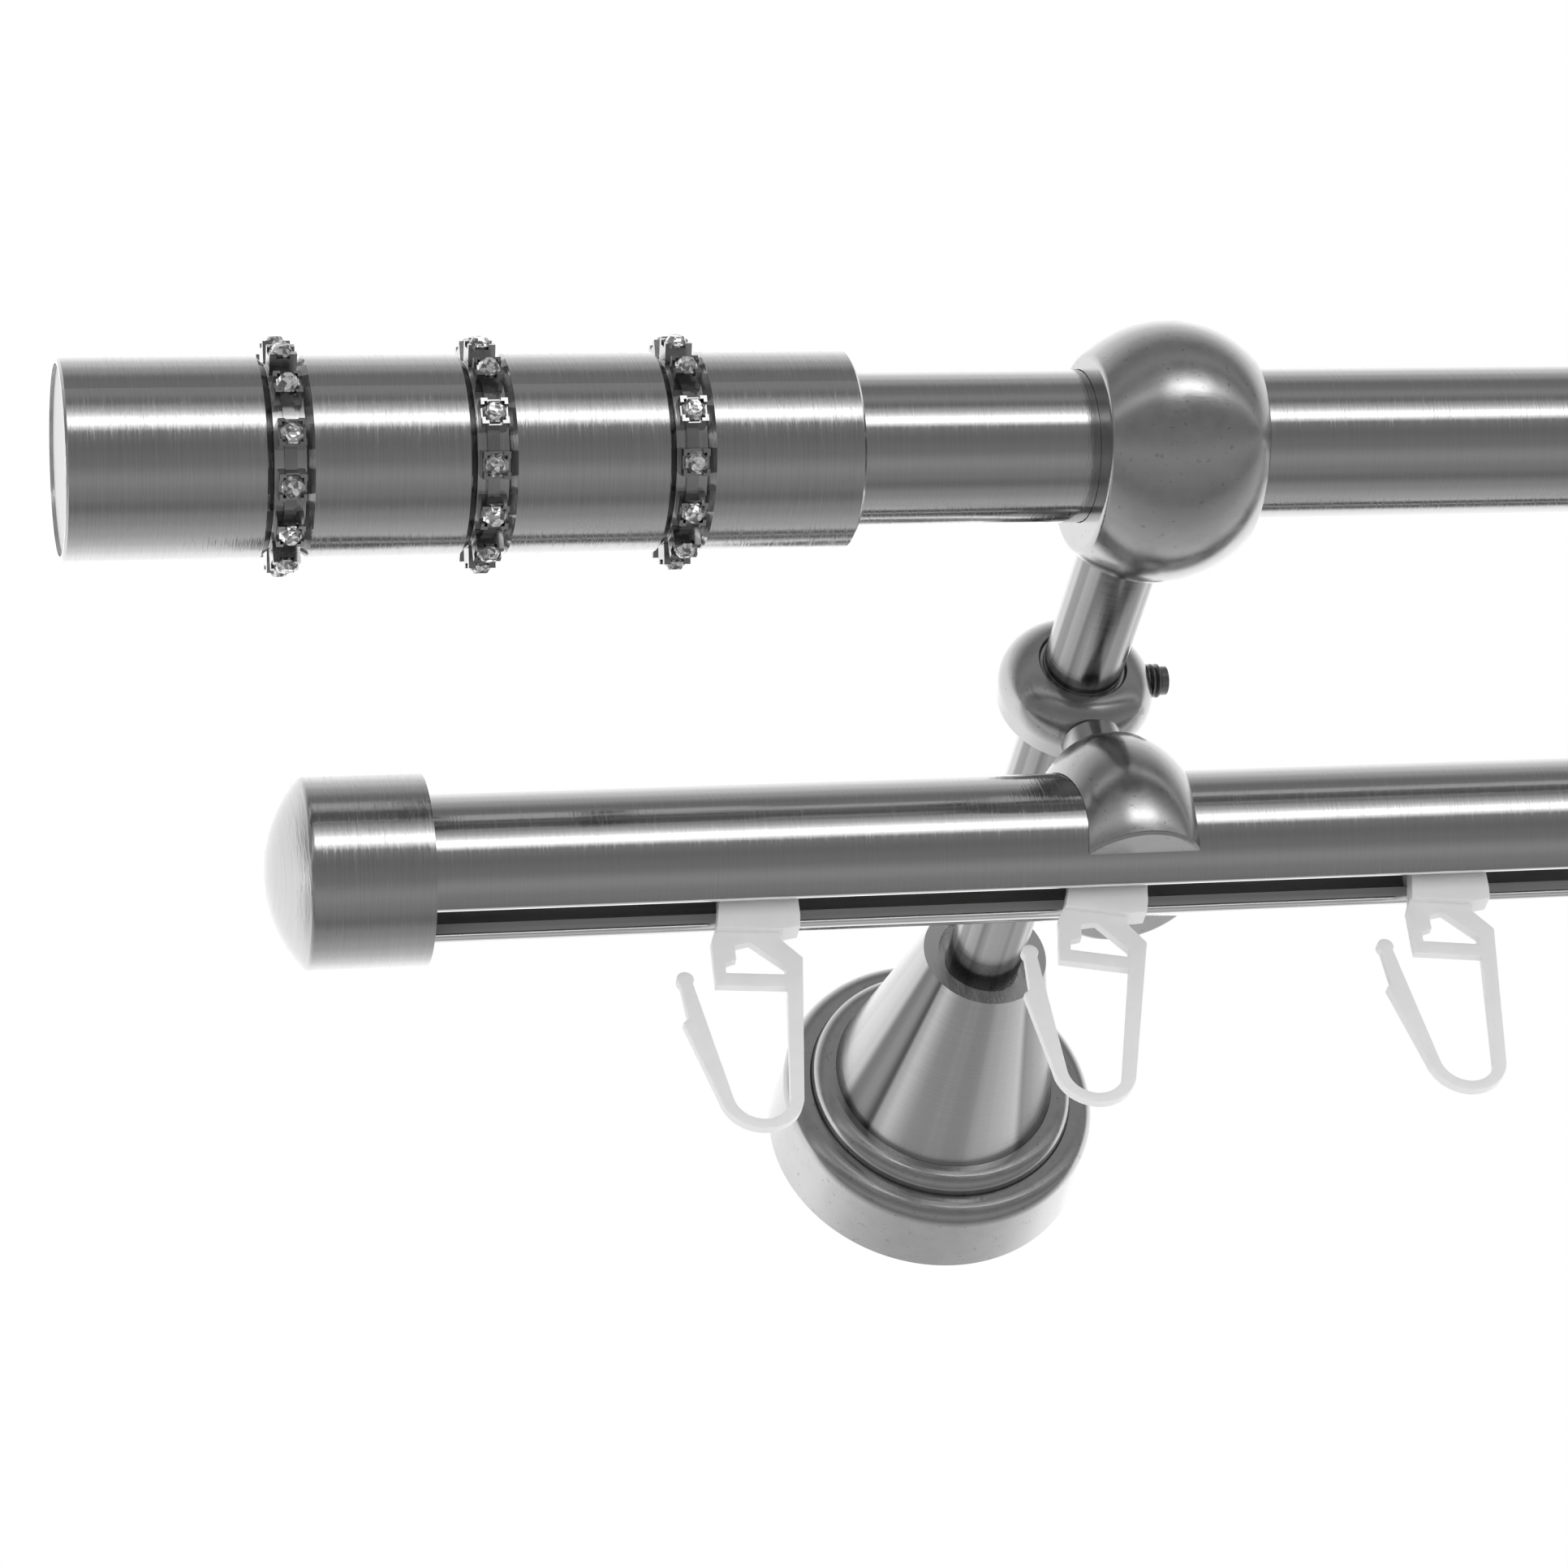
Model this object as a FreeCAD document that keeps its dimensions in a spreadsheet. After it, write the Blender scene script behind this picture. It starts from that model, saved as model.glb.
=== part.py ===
import FreeCAD, Part
import math
import os
import Sketcher
from FreeCAD import Placement, Rotation, Vector

# Double curtain pole: a front pole with jewelled finials and a slotted rear rail with gliders, on two brackets.
# Frame: X along the poles, Y into the wall (wall plane at Y = 0, room towards -Y), Z up.
# The origin is the centre of the left wall plate. All lengths are in millimetres.

doc = FreeCAD.newDocument("double_curtain_pole")
sheet = doc.addObject("Spreadsheet::Sheet", "dims")

DRIVING_SIZES = {
    # layout
    "bracket_spacing": 480.0,
    "front_reach": 200.0,
    "rear_reach": 139.0,
    "rear_drop": 36.0,
    "pole_diameter": 25.0,
    "pole_wall": 1.2,
    "slip_fit": 0.05,
    "loose_fit": 0.3,
    # wall plate and flange
    "plate_floor": 2.5,
    "plate_depth": 8.0,
    "plate_rim": 3.6,
    "plate_hole_circle": 36.0,
    "plate_hole_diameter": 4.8,
    "rim_band": 5.5,
    "flange_taper": 0.6,
    "flange_skirt": 2.8,
    "rim_height": 15.9,
    "rim_round": 3.4,
    "ring_band": 4.6,
    "step_groove": 0.25,
    "ring_height": 19.6,
    "ring_round": 3.0,
    "flange_floor": 12.0,
    "flange_grub_diameter": 4.0,
    "flange_grub_reach": 5.2,
    # cone, arm and tie screw
    "cone_seat": 18.9,
    "cone_base_diameter": 42.8,
    "cone_top_diameter": 23.6,
    "cone_height": 59.5,
    "cone_mouth_diameter": 17.8,
    "cone_mouth_depth": 3.0,
    "arm_diameter": 14.0,
    "arm_seat": 38.0,
    "tie_diameter": 8.0,
    "tie_head_diameter": 13.0,
    "tie_head_height": 5.0,
    "tie_engagement": 12.0,
    # front holder
    "holder_length": 46.8,
    "holder_height": 39.8,
    "holder_roundness": 41.0,
    "holder_width": 27.2,
    "holder_advance": 0.3,
    "holder_drop": 2.0,
    "holder_edge": 1.2,
    "holder_web": 1.0,
    "grub_diameter": 5.0,
    "grub_length": 5.6,
    "grub_angle": 60.0,
    # collar and its set screw
    "collar_length": 10.8,
    "collar_diameter": 27.4,
    "collar_mouth_diameter": 15.8,
    "collar_mouth_depth": 0.6,
    "collar_mouth_taper": 0.4,
    "collar_round": 6.6,
    "collar_band": 3.4,
    "collar_flat": 12.7,
    "set_screw_diameter": 6.0,
    "set_screw_pitch": 1.0,
    "set_screw_depth": 0.45,
    "set_screw_reach": 16.3,
    # rear holder and its screw
    "saddle_width": 30.0,
    "saddle_depth": 34.6,
    "saddle_height": 20.9,
    "saddle_rise": 1.2,
    "saddle_setback": 0.6,
    "saddle_skirt": 8.8,
    "saddle_edge": 0.8,
    "saddle_neck_diameter": 10.4,
    "saddle_screw_diameter": 5.0,
    "saddle_screw_head": 9.0,
    "saddle_screw_tip": 8.4,
    # rear rail and its caps
    "slot_width": 6.5,
    "lip_height": 3.2,
    "lip_round": 0.9,
    "cap_diameter": 32.0,
    "cap_mouth": 120.5,
    "cap_skirt": 19.8,
    "cap_dome": 6.3,
    "cap_corner": 1.2,
    "cap_insert": 16.0,
    # finial
    "finial_diameter": 32.0,
    "finial_length": 126.0,
    "finial_mouth": 53.6,
    "finial_wall": 2.6,
    "finial_insert": 55.0,
    "finial_bevel": 0.4,
    "groove_offset": 24.5,
    "groove_pitch": 31.7,
    "groove_floor": 5.0,
    "groove_depth": 1.2,
    "disc_rim": 1.0,
    "disc_thickness": 1.8,
    "disc_recess": 0.6,
    "bush_length": 40.0,
    # cup chain and stones
    "cup_size": 4.3,
    "cup_height": 2.9,
    "cup_bed": 1.7,
    "prong_size": 1.1,
    "prong_height": 0.8,
    "link_width": 1.9,
    "link_thickness": 0.6,
    "stone_diameter": 3.9,
    "stone_table": 2.3,
    "stone_foot": 2.4,
    "stone_girdle": 1.05,
    "stone_height": 2.3,
    # gliders
    "glider_first": -65.5,
    "glider_pitch": 61.1,
    "head_length": 11.6,
    "head_width": 10.6,
    "head_height": 2.2,
    "head_clearance": 0.15,
    "neck_length": 13.4,
    "neck_flare": 0.8,
    "neck_drop": 16.4,
    "neck_waist": 0.6,
    "neck_thickness": 3.4,
    "hook_thickness": 1.4,
    "leg_width": 3.1,
    "wall_out": 8.5,
    "wall_width": 1.9,
    "bar_top": 25.0,
    "bar_width": 2.5,
    "shoulder_out": 6.5,
    "shoulder_drop": 21.5,
    "bend_offset": 2.95,
    "bend_drop": 49.9,
    "bend_radius": 6.85,
    "bend_width": 2.2,
    "bend_flatness": 1.02,
    "tip_offset": 13.5,
    "tip_drop": 26.4,
    "tip_radius": 1.4,
    "tip_width": 2.0,
    "barb_drop": 34.3,
    "barb_step": 0.9,
    "window_top": 18.6,
    "window_step": 22.2,
}

SIDES = ("left", "right")
RINGS_PER_FINIAL = 3
STONES_PER_RING = 13
# Each chain is closed at its own place round the finial, in degrees; the outermost is seen turned.
RING_TURNS = (0.0, 0.0, -9.6)
PLATE_HOLES = 3
STONE_FACETS = 8
# Each glider hangs a little askew in its slot, in degrees about Y; the first three are as seen, the rest alike.
GLIDER_TILTS = (4.5, 11.5, 6.5, 5.0, 8.0, 4.0, 6.0, 9.0, 5.5, 7.0, 4.5)

for row, (alias, size) in enumerate(DRIVING_SIZES.items(), start=1):
    sheet.set(f"A{row}", alias.replace("_", " "))
    sheet.set(f"B{row}", str(size))
    sheet.setAlias(f"B{row}", alias)
doc.recompute()

# Formulas of the sheet that several pieces share
POLE_RADIUS = "dims.pole_diameter / 2"
POLE_BORE = "(dims.pole_diameter / 2 + 2 * dims.slip_fit)"
ARM_RADIUS = "dims.arm_diameter / 2"
ARM_BORE = "(dims.arm_diameter / 2 + dims.slip_fit)"
ARM_END = "(dims.front_reach - dims.pole_diameter / 2 - 2 * dims.slip_fit - dims.holder_web)"
TIE_BORE = "(dims.tie_diameter / 2 + dims.slip_fit)"
TIE_TIP = "(dims.arm_seat + dims.tie_engagement)"
STEP_RADIUS = "(dims.cone_base_diameter / 2 + dims.ring_band)"
FLANGE_RADIUS = "(dims.cone_base_diameter / 2 + dims.ring_band + dims.rim_band)"
PLATE_RADIUS = f"({FLANGE_RADIUS} - dims.flange_skirt - dims.loose_fit)"
COLLAR_RADIUS = "dims.collar_diameter / 2"
COLLAR_BACK = "(dims.rear_reach - dims.collar_length / 2)"
COLLAR_FRONT = "(dims.rear_reach + dims.collar_length / 2)"
FINIAL_RADIUS = "dims.finial_diameter / 2"
FINIAL_BORE = "(dims.finial_diameter / 2 - dims.finial_wall)"
GROOVE_WIDTH = "(dims.groove_floor + 2 * dims.groove_depth)"
GROOVE_FLOOR_RADIUS = "(dims.finial_diameter / 2 - dims.groove_depth)"
DISC_SEAT = "(dims.disc_thickness + dims.disc_recess)"
SLOT_HALF = "dims.slot_width / 2"
LIP_FOOT = "sqrt((dims.pole_diameter / 2)^2 - (dims.slot_width / 2)^2)"
LIP_TOP = f"({LIP_FOOT} - dims.lip_height)"

# Directions that a cylinder, which stands along Z when made, is turned to
ALONG_X = Rotation(Vector(0, 1, 0), 90)
ALONG_Y = Rotation(Vector(1, 0, 0), -90)
ALONG_Z = Rotation()
DOWNWARD = Rotation(Vector(1, 0, 0), 180)


def value(formula):
    """The present number of a formula of the sheet."""
    return float(sheet.evalExpression(formula))


def place(feature, x="0", y="0", z="0", rotation=None):
    """Binds a feature's position to formulas, with a fixed rotation."""
    turn = rotation or Rotation()
    feature.Placement = Placement(Vector(value(x), value(y), value(z)), turn)
    for axis, formula in zip("xyz", (x, y, z)):
        feature.setExpression(f"Placement.Base.{axis}", formula)


def new_body(label, x="0", y="0", z="0", rotation=None):
    body = doc.addObject("PartDesign::Body", label)
    body.Label = label
    place(body, x, y, z, rotation)
    return body


def draw(body, name, role, loops):
    """A sketch of closed loops; a corner is (across, up) or (across, up, radius of the arc that follows).

    A positive radius bulges to the right of the way from the corner to the next one, and an arc marked
    "long" goes the longer way round.
    """
    sketch = body.newObject("Sketcher::SketchObject", name)
    plane = [feature for feature in body.Origin.OriginFeatures if feature.Role == role][0]
    sketch.AttachmentSupport = [(plane, "")]
    sketch.MapMode = "FlatFace"
    for corners in loops:
        points = [Vector(value(corner[0]), value(corner[1]), 0) for corner in corners]
        ends = []
        for number, corner in enumerate(corners):
            start = points[number]
            end = points[(number + 1) % len(points)]
            if len(corner) == 2:
                index = sketch.addGeometry(Part.LineSegment(start, end), False)
                ends.append((index, 1, 2))
                continue
            arc = bulged_arc(start, end, value(corner[2]), "long" in corner[3:])
            index = sketch.addGeometry(arc, False)
            forward = sketch.getPoint(index, 1).isEqual(start, 1e-5)
            ends.append((index, 1, 2) if forward else (index, 2, 1))
        for number, corner in enumerate(corners):
            index, first, last = ends[number]
            following = ends[(number + 1) % len(ends)]
            sketch.addConstraint(Sketcher.Constraint("Coincident", index, last, following[0], following[1]))
            for kind, formula in (("DistanceX", corner[0]), ("DistanceY", corner[1])):
                bind(sketch, Sketcher.Constraint(kind, -1, 1, index, first, value(formula)), formula)
            if len(corner) > 2:
                radius = f"abs({corner[2]})"
                bind(sketch, Sketcher.Constraint("Radius", index, value(radius)), radius)
    return sketch


def bind(sketch, constraint, formula):
    number = sketch.addConstraint(constraint)
    sketch.setExpression(f"Constraints[{number}]", formula)


def bulged_arc(start, end, radius, long_way):
    chord = end - start
    half = chord.Length / 2
    side = Vector(chord.y, -chord.x, 0).normalize() * math.copysign(1, radius)
    rise = math.sqrt(max(radius * radius - half * half, 0))
    sagitta = abs(radius) + rise if long_way else abs(radius) - rise
    return Part.Arc(start, start + chord * 0.5 + side * sagitta, end)


def revolve(body, name, sketch, axis):
    turned = body.newObject("PartDesign::Revolution", name)
    turned.Profile = sketch
    turned.ReferenceAxis = (sketch, [axis])
    turned.Angle = 360
    body.Tip = turned
    return turned


def turned_on_arm(body, name, corners):
    """Turns corners (radius, distance from the wall) about the arm's axis."""
    flipped = [(corner[0], f"-({corner[1]})") + tuple(corner[2:]) for corner in corners]
    return revolve(body, name, draw(body, name + "_profile", "XY_Plane", [flipped]), "V_Axis")


def turned_on_pole(body, name, corners):
    """Turns corners (distance along X, radius) about the pole's axis."""
    return revolve(body, name, draw(body, name + "_profile", "XY_Plane", [corners]), "H_Axis")


def pad(body, name, sketch, length, centred=True):
    feature = body.newObject("PartDesign::Pad", name)
    feature.Profile = sketch
    feature.Length = value(length)
    feature.setExpression("Length", length)
    feature.Midplane = centred
    body.Tip = feature
    return feature


def bore(body, name, radius, length, x="0", y="0", z="0", rotation=ALONG_Z):
    """Cuts a round hole that starts at a point and runs along the turned Z."""
    hole = body.newObject("PartDesign::SubtractiveCylinder", name)
    hole.setExpression("Radius", radius)
    hole.setExpression("Height", length)
    place(hole, x, y, z, rotation)
    body.Tip = hole
    return hole


def bar(body, name, radius, length, x="0", y="0", z="0", rotation=ALONG_Z):
    """Adds a round bar that starts at a point and runs along the turned Z."""
    rod = body.newObject("PartDesign::AdditiveCylinder", name)
    rod.setExpression("Radius", radius)
    rod.setExpression("Height", length)
    place(rod, x, y, z, rotation)
    body.Tip = rod
    return rod


def trim(body, name, length, width, height, x, y, z):
    """Cuts a box whose lowest corner is at a point."""
    block = body.newObject("PartDesign::SubtractiveBox", name)
    block.setExpression("Length", length)
    block.setExpression("Width", width)
    block.setExpression("Height", height)
    place(block, x, y, z)
    body.Tip = block
    return block


def hex_socket(body, name, circumradius, depth, x="0", y="0", z="0", rotation=ALONG_Z):
    socket = body.newObject("PartDesign::SubtractivePrism", name)
    socket.Polygon = 6
    socket.setExpression("Circumradius", circumradius)
    socket.setExpression("Height", depth)
    place(socket, x, y, z, rotation)
    body.Tip = socket
    return socket


def soften(body, name, radius, wanted):
    """Rounds the edges of the body that the wanted function picks."""
    doc.recompute()
    base = body.Tip
    names = [f"Edge{n}" for n, edge in enumerate(base.Shape.Edges, start=1) if wanted(edge)]
    fillet = body.newObject("PartDesign::Fillet", name)
    fillet.Base = (base, names)
    fillet.Radius = value(radius)
    fillet.setExpression("Radius", radius)
    body.Tip = fillet
    return fillet


def wall_plate(side, x):
    """Steel dish behind the flange, screwed to the wall through three holes."""
    body = new_body(f"{side}_wall_plate", x)
    turned_on_arm(body, "dish", [
        ("0", "0"),
        (PLATE_RADIUS, "0"),
        (PLATE_RADIUS, "dims.plate_depth"),
        (f"{PLATE_RADIUS} - dims.plate_rim", "dims.plate_depth"),
        (f"{PLATE_RADIUS} - dims.plate_rim", "dims.plate_floor"),
        ("0", "dims.plate_floor"),
    ])
    for number in range(PLATE_HOLES):
        turn = 90 + 360 * number / PLATE_HOLES
        hole = bore(
            body, f"screw_hole_{number + 1}", "dims.plate_hole_diameter / 2", "3 * dims.plate_floor",
            x=f"dims.plate_hole_circle / 2 * cos({turn} deg)", y="-2 * dims.plate_floor",
            z=f"dims.plate_hole_circle / 2 * sin({turn} deg)", rotation=ALONG_Y)
    body.Tip = hole


def flange(side, x):
    """Turned rosette: skirt over the wall plate, rounded rim, a fine step and a raised ring round the cone."""
    body = new_body(f"{side}_flange", x)
    rim = f"({FLANGE_RADIUS} - dims.flange_taper)"
    step = STEP_RADIUS
    seat = "(dims.cone_base_diameter / 2 + dims.slip_fit)"
    turned_on_arm(body, "rosette", [
        (FLANGE_RADIUS, "0"),
        (rim, "dims.rim_height - dims.rim_round", "-dims.rim_round"),
        (f"{rim} - dims.rim_round", "dims.rim_height"),
        (step, "dims.rim_height"),
        (f"{step} - dims.step_groove", "dims.rim_height - dims.step_groove"),
        (f"{step} - dims.step_groove", "dims.ring_height - dims.ring_round", "-dims.ring_round"),
        (f"{step} - dims.step_groove - dims.ring_round", "dims.ring_height"),
        (seat, "dims.ring_height"),
        (seat, "dims.cone_seat"),
        (TIE_BORE, "dims.cone_seat"),
        (TIE_BORE, "dims.flange_floor"),
        (f"{PLATE_RADIUS} + dims.loose_fit", "dims.flange_floor"),
        (f"{PLATE_RADIUS} + dims.loose_fit", "0"),
    ])
    bore(body, "grub_thread", "dims.flange_grub_diameter / 2 + dims.slip_fit", FLANGE_RADIUS,
         y="-dims.flange_grub_reach")


def flange_grub(side, x):
    """Headless screw on top of the flange that grips the wall plate's rim."""
    body = new_body(f"{side}_flange_grub", x, "-dims.flange_grub_reach", PLATE_RADIUS)
    bar(body, "shank", "dims.flange_grub_diameter / 2", "dims.flange_skirt")
    hex_socket(body, "socket", "dims.flange_grub_diameter / 4", "dims.flange_skirt / 2", z="dims.flange_skirt / 2")


def cone(side, x):
    """Turned trumpet that stands in the flange and carries the arm in its mouth."""
    body = new_body(f"{side}_cone", x)
    turned_on_arm(body, "trumpet", [
        (TIE_BORE, "dims.cone_seat"),
        ("dims.cone_base_diameter / 2", "dims.cone_seat"),
        ("dims.cone_base_diameter / 2", "dims.ring_height"),
        ("dims.cone_top_diameter / 2", "dims.cone_height"),
        ("dims.cone_mouth_diameter / 2", "dims.cone_height"),
        ("dims.cone_mouth_diameter / 2", "dims.cone_height - dims.cone_mouth_depth"),
        (ARM_BORE, "dims.cone_height - dims.cone_mouth_depth"),
        (ARM_BORE, "dims.arm_seat"),
        (TIE_BORE, "dims.arm_seat"),
    ])


def arm(side, x):
    """Round bar from the cone to the front holder, drilled at the wall end for the tie screw."""
    body = new_body(f"{side}_arm", x)
    turned_on_arm(body, "rod", [
        (TIE_BORE, "dims.arm_seat"),
        (ARM_RADIUS, "dims.arm_seat"),
        (ARM_RADIUS, ARM_END),
        ("0", ARM_END),
        ("0", f"{TIE_TIP} + dims.loose_fit"),
        (TIE_BORE, f"{TIE_TIP} + dims.loose_fit"),
    ])


def tie_screw(side, x):
    """Socket screw inside the flange that draws cone and arm against it."""
    body = new_body(f"{side}_tie_screw", x)
    head = "(dims.flange_floor - dims.tie_head_height)"
    turned_on_arm(body, "screw", [
        ("0", head),
        ("dims.tie_head_diameter / 2", head),
        ("dims.tie_head_diameter / 2", "dims.flange_floor"),
        ("dims.tie_diameter / 2", "dims.flange_floor"),
        ("dims.tie_diameter / 2", TIE_TIP),
        ("0", TIE_TIP),
    ])
    hex_socket(body, "socket", "dims.tie_head_diameter / 4", "dims.tie_head_height / 2",
               y=f"-{head} - dims.tie_head_height / 2", rotation=ALONG_Y)


def egg(body, name, half_widths, y="0", z="0"):
    """An ellipsoid from its half widths along X, Y and Z."""
    solid = body.newObject("PartDesign::AdditiveEllipsoid", name)
    solid.setExpression("Radius2", half_widths[0])
    solid.setExpression("Radius3", half_widths[1])
    solid.setExpression("Radius1", half_widths[2])
    place(solid, y=y, z=z)
    body.Tip = solid
    return solid


def front_holder(side, x):
    """Egg-shaped casting on the arm's end; the front pole passes through its flattened sides."""
    body = new_body(f"{side}_front_holder", x, "-dims.front_reach")
    egg(body, "egg", ("dims.holder_roundness / 2", "dims.holder_length / 2", "dims.holder_height / 2"),
        y="-dims.holder_advance", z="-dims.holder_drop")
    size = "2 * dims.holder_length"
    width = "dims.holder_width"
    trim(body, "right_flat", size, size, size, f"{width} / 2", f"-{size} / 2", f"-{size} / 2")
    trim(body, "left_flat", size, size, size, f"-{width} / 2 - {size}", f"-{size} / 2", f"-{size} / 2")
    half = value(width) / 2
    soften(body, "soft_edges", "dims.holder_edge",
           lambda edge: edge.BoundBox.XLength < 0.01 and abs(abs(edge.BoundBox.XMin) - half) < 0.01)
    bore(body, "pole_bore", POLE_BORE, "2 * dims.holder_width", x="-dims.holder_width", rotation=ALONG_X)
    bore(body, "arm_socket", ARM_BORE, "dims.holder_length", y=f"dims.front_reach - {ARM_END}", rotation=ALONG_Y)
    bore(body, "grub_thread", "dims.grub_diameter / 2 + dims.slip_fit", "dims.holder_length",
         rotation=grub_direction())


def grub_direction():
    """Up and back towards the wall, the stated angle above level."""
    return Rotation(Vector(1, 0, 0), value("dims.grub_angle") - 90)


def front_grub(side, x):
    """Headless screw on top of the front holder that grips the pole."""
    body = new_body(f"{side}_front_grub", x, "-dims.front_reach", "0", grub_direction())
    bar(body, "shank", "dims.grub_diameter / 2", "dims.grub_length", z=f"{POLE_RADIUS}")
    hex_socket(body, "socket", "dims.grub_diameter / 4", "dims.grub_length / 2",
               z=f"{POLE_RADIUS} + dims.grub_length / 2")


def collar(side, x):
    """Ring that slides on the arm: a plain band behind and a rounded nose, threaded at the side and below."""
    body = new_body(f"{side}_collar", x)
    mouth = "dims.collar_mouth_diameter / 2"
    seat = f"({COLLAR_FRONT} - dims.collar_mouth_depth)"
    turned_on_arm(body, "ring", [
        (ARM_BORE, COLLAR_BACK),
        (f"{COLLAR_RADIUS} - dims.slip_fit * 10", COLLAR_BACK),
        (COLLAR_RADIUS, f"{COLLAR_BACK} + dims.collar_band", "-dims.collar_round"),
        (mouth, COLLAR_FRONT),
        (f"{mouth} - dims.collar_mouth_taper", seat),
        (ARM_BORE, seat),
    ])
    trim(body, "flat_seat", "2 * dims.collar_diameter", "2 * dims.collar_length", "dims.collar_diameter",
         "-dims.collar_diameter", f"-{COLLAR_FRONT} - dims.collar_length / 2",
         "-dims.collar_flat - dims.collar_diameter")
    bore(body, "set_screw_thread", "dims.set_screw_diameter / 2 + dims.slip_fit", "dims.collar_diameter",
         y="-dims.rear_reach", rotation=ALONG_X)
    bore(body, "saddle_screw_thread", "dims.saddle_screw_diameter / 2 + dims.slip_fit", "dims.collar_diameter",
         y="-dims.rear_reach", rotation=DOWNWARD)


def collar_screw(side, x):
    """Headless set screw that stands proud of the collar, with its thread showing."""
    body = new_body(f"{side}_collar_screw", x, "-dims.rear_reach")
    tip = f"({ARM_RADIUS} + 2 * dims.slip_fit)"
    crest = "dims.set_screw_diameter / 2"
    root = f"({crest} - dims.set_screw_depth)"
    shown = value(f"dims.set_screw_reach - {tip}")
    turns = int((shown - 0.5) / value("dims.set_screw_pitch"))
    profile = [(tip, "0"), (tip, root)]
    for turn in range(turns):
        start = f"({tip} + {turn} * dims.set_screw_pitch)"
        profile.append((f"{start} + dims.set_screw_pitch * 0.35", crest))
        profile.append((f"{start} + dims.set_screw_pitch * 0.65", crest))
        profile.append((f"{start} + dims.set_screw_pitch", root))
    profile.append(("dims.set_screw_reach", root))
    profile.append(("dims.set_screw_reach", "0"))
    turned_on_pole(body, "thread", profile)
    hex_socket(body, "socket", "dims.set_screw_diameter / 4", "dims.set_screw_diameter / 2",
               x="dims.set_screw_reach - dims.set_screw_diameter / 2", rotation=ALONG_X)


def rear_holder(side, x):
    """Thimble-shaped casting under the collar, cut off flat below so that the gliders pass it."""
    body = new_body(f"{side}_rear_holder", x, "-dims.rear_reach", "-dims.rear_drop")
    egg(body, "thimble", ("dims.saddle_width / 2", "dims.saddle_depth / 2", "dims.saddle_height - dims.saddle_rise"),
        y="dims.saddle_setback", z="dims.saddle_rise")
    size = "2 * dims.saddle_depth"
    trim(body, "flat_foot", size, size, size, f"-{size} / 2", f"-{size} / 2", f"-dims.saddle_skirt - {size}")
    foot = -value("dims.saddle_skirt")
    soften(body, "soft_foot", "dims.saddle_edge",
           lambda edge: edge.BoundBox.ZLength < 0.01 and abs(edge.BoundBox.ZMin - foot) < 0.01)
    neck_foot = "(dims.pole_diameter / 2)"
    bar(body, "neck", "dims.saddle_neck_diameter / 2",
        f"dims.rear_drop - dims.collar_flat - {neck_foot}", z=neck_foot)
    bore(body, "rail_bore", POLE_BORE, "2 * dims.saddle_width", x="-dims.saddle_width", rotation=ALONG_X)
    bore(body, "screw_hole", "dims.saddle_screw_diameter / 2 + dims.slip_fit", "dims.rear_drop")
    bore(body, "screw_head_hole", "dims.saddle_screw_head / 2 + dims.slip_fit", saddle_head_top())


def saddle_head_top():
    """Height of the screw head's flat above the rail's axis."""
    return "(dims.pole_diameter / 2 + dims.saddle_screw_head / 3 + dims.loose_fit)"


def rear_holder_screw(side, x):
    """Screw from inside the rail's bore up into the collar."""
    body = new_body(f"{side}_rear_holder_screw", x, "-dims.rear_reach", "-dims.rear_drop")
    head = "dims.saddle_screw_head / 2"
    shank = "dims.saddle_screw_diameter / 2"
    top = saddle_head_top()
    tip = "(dims.rear_drop - dims.saddle_screw_tip)"
    sketch = draw(body, "screw_profile", "XZ_Plane", [[
        ("0", f"{top} - dims.saddle_screw_head / 3"),
        (head, f"{top} - dims.saddle_screw_head / 3"),
        (head, top),
        (shank, top),
        (shank, tip),
        ("0", tip),
    ]])
    revolve(body, "screw", sketch, "V_Axis")


def front_pole():
    body = new_body("front_pole", "-dims.finial_mouth - dims.finial_insert", "-dims.front_reach")
    length = "(dims.bracket_spacing + 2 * dims.finial_mouth + 2 * dims.finial_insert)"
    turned_on_pole(body, "tube", [
        ("0", f"{POLE_RADIUS} - dims.pole_wall"),
        (length, f"{POLE_RADIUS} - dims.pole_wall"),
        (length, POLE_RADIUS),
        ("0", POLE_RADIUS),
    ])


def rear_track():
    """Tube rolled with a slot below, its edges turned inward as the gliders' running lips."""
    start = "(dims.cap_mouth + dims.cap_insert)"
    body = new_body("rear_track", f"-{start}", "-dims.rear_reach", "-dims.rear_drop")
    inner_radius = f"({POLE_RADIUS} - dims.pole_wall)"
    inner_edge = f"({SLOT_HALF} + dims.pole_wall)"
    inner_foot = f"sqrt({inner_radius}^2 - {inner_edge}^2)"
    sketch = draw(body, "section", "YZ_Plane", [[
        (SLOT_HALF, f"-{LIP_FOOT}", POLE_RADIUS, "long"),
        (f"-{SLOT_HALF}", f"-{LIP_FOOT}"),
        (f"-{SLOT_HALF}", f"-{LIP_TOP}"),
        (f"-{inner_edge}", f"-{LIP_TOP}"),
        (f"-{inner_edge}", f"-{inner_foot}", f"-{inner_radius}", "long"),
        (inner_edge, f"-{inner_foot}"),
        (inner_edge, f"-{LIP_TOP}"),
        (SLOT_HALF, f"-{LIP_TOP}"),
    ]])
    pad(body, "rail", sketch, f"dims.bracket_spacing + 2 * {start}", centred=False)
    foot = value(LIP_FOOT)
    soften(body, "rolled_lips", "dims.lip_round",
           lambda edge: edge.BoundBox.XLength > 1 and abs(edge.BoundBox.ZMin + foot) < 0.01)


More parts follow.
